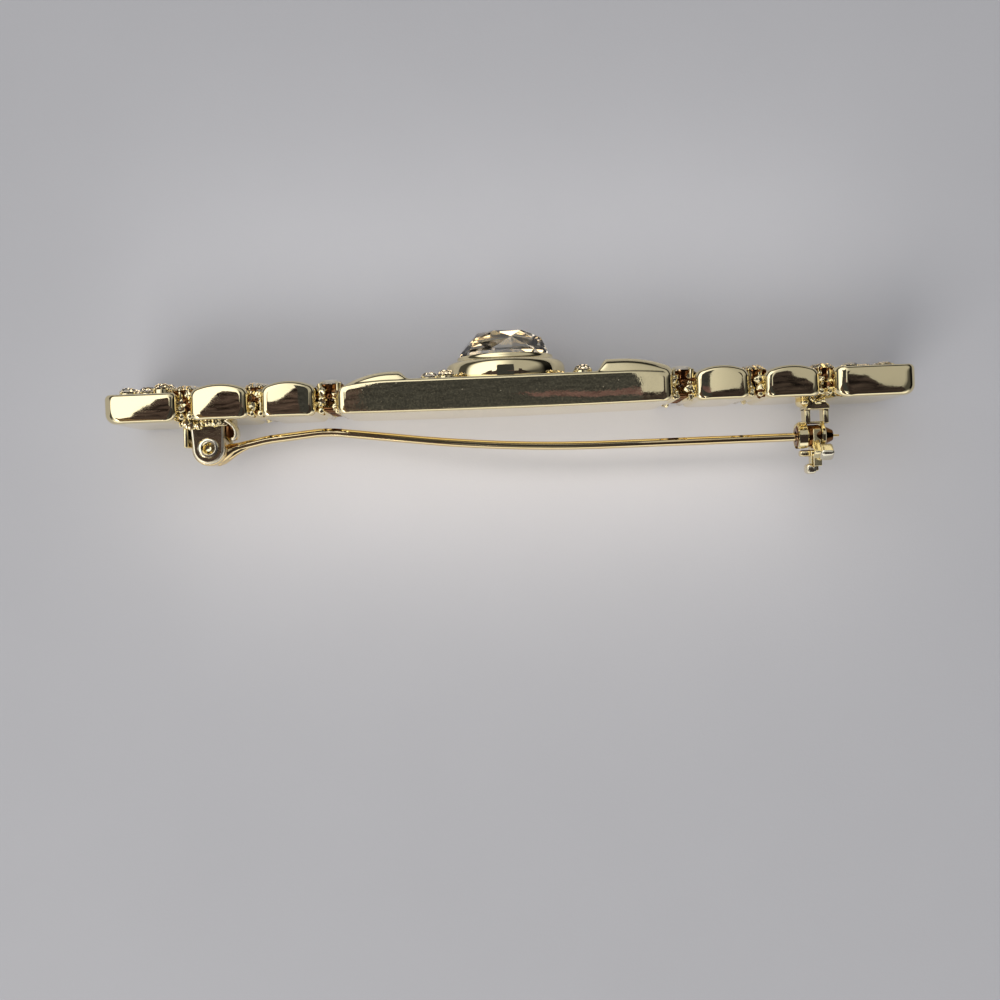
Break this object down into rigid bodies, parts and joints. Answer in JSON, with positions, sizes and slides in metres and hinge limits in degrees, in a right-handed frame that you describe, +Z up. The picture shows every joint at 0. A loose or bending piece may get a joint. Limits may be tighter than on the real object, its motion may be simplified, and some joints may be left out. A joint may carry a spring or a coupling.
{
  "type": "bar brooch",
  "caption": "Bar brooch with an oval crystal between raised caps, polished links with prong-set stones, paved ends, a hinged pin and a turning safety catch.",
  "frame": {"origin": "centre of the centre panel's lower long edge, the face that the brooch rests on", "axes": "+X along the bar towards the pin's hinge, -Y the way the stones face, +Y towards the pin at the back, +Z up, along the brooch's height"},
  "size_m": [0.0818, 0.0163, 0.012],
  "materials": {
    "gold_cast": "polished pale gold plate",
    "gold_wire": "polished gold plate",
    "catch_metal": "polished pale gold plate, worn white at the thumb pieces",
    "clear_crystal": "faceted",
    "pave_crystal": "small faceted stones set in gold beads"
  },
  "bodies": {
    "brooch": {"bar_frame": "gold_cast", "main_crystal": "clear_crystal", "pave_panel_hinge_side": "pave_crystal", "pave_panel_catch_side": "pave_crystal", "pave_end_hinge_side": "pave_crystal", "pave_end_catch_side": "pave_crystal", "stones_panel_hinge_side": "clear_crystal", "stones_links_hinge_side": "clear_crystal", "stones_end_hinge_side": "clear_crystal", "stones_panel_catch_side": "clear_crystal", "stones_links_catch_side": "clear_crystal", "stones_end_catch_side": "clear_crystal", "hinge_rivet": "gold_cast"},
    "pin": {"pin_stem": "gold_wire"},
    "sleeve": {"catch_sleeve": "catch_metal"}
  },
  "joints": [
    {"name": "pin_swing", "type": "hinge", "parent": "brooch", "child": "pin", "pos_m": [0.031, 0.00435, 0.006], "axis": [0, 0, -1], "range_deg": [0, 95]},
    {"name": "sleeve_turn", "type": "hinge", "parent": "brooch", "child": "sleeve", "pos_m": [-0.03187, 0.00545, 0.006], "axis": [1, 0, 0], "range_deg": [0, 90]}
  ]
}
